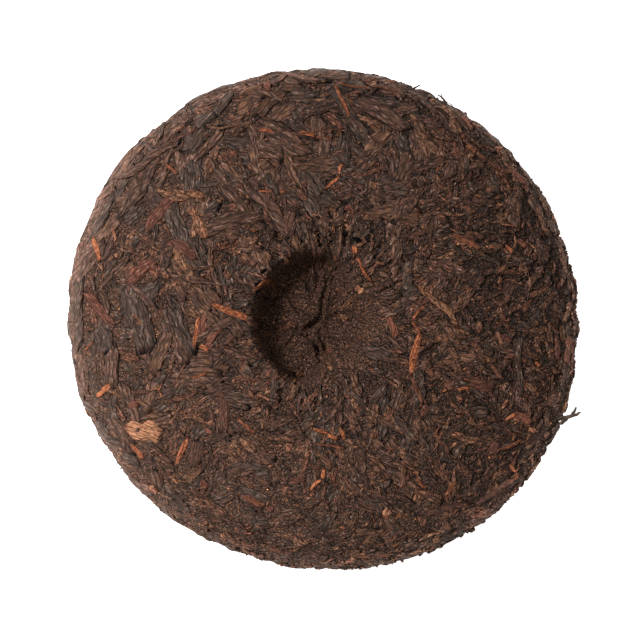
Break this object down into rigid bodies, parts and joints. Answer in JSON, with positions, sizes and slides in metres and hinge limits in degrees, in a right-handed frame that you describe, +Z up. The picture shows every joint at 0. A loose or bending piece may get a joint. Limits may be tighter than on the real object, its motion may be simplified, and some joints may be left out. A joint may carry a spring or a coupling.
{
  "type": "compressed tea cake",
  "caption": "Round cake of ripe pu erh tea: dark leaves and stems pressed into a thick disc, with the hollow of the cloth bag's knot in the face that points up",
  "frame": {"origin": "centre of the flat spot on the underside that the cake rests on", "axes": "+Z up, out of the face with the hollow; +X to the right and +Y to the back of the cake as the picture shows it from above"},
  "size_m": [0.2012, 0.1946, 0.0273],
  "materials": {
    "pressed_tea": "dry pressed tea leaves, dark brown, dull with a faint sheen on the flat leaves"
  },
  "bodies": {
    "root": {"tea_cake": "pressed_tea"}
  },
  "joints": []
}
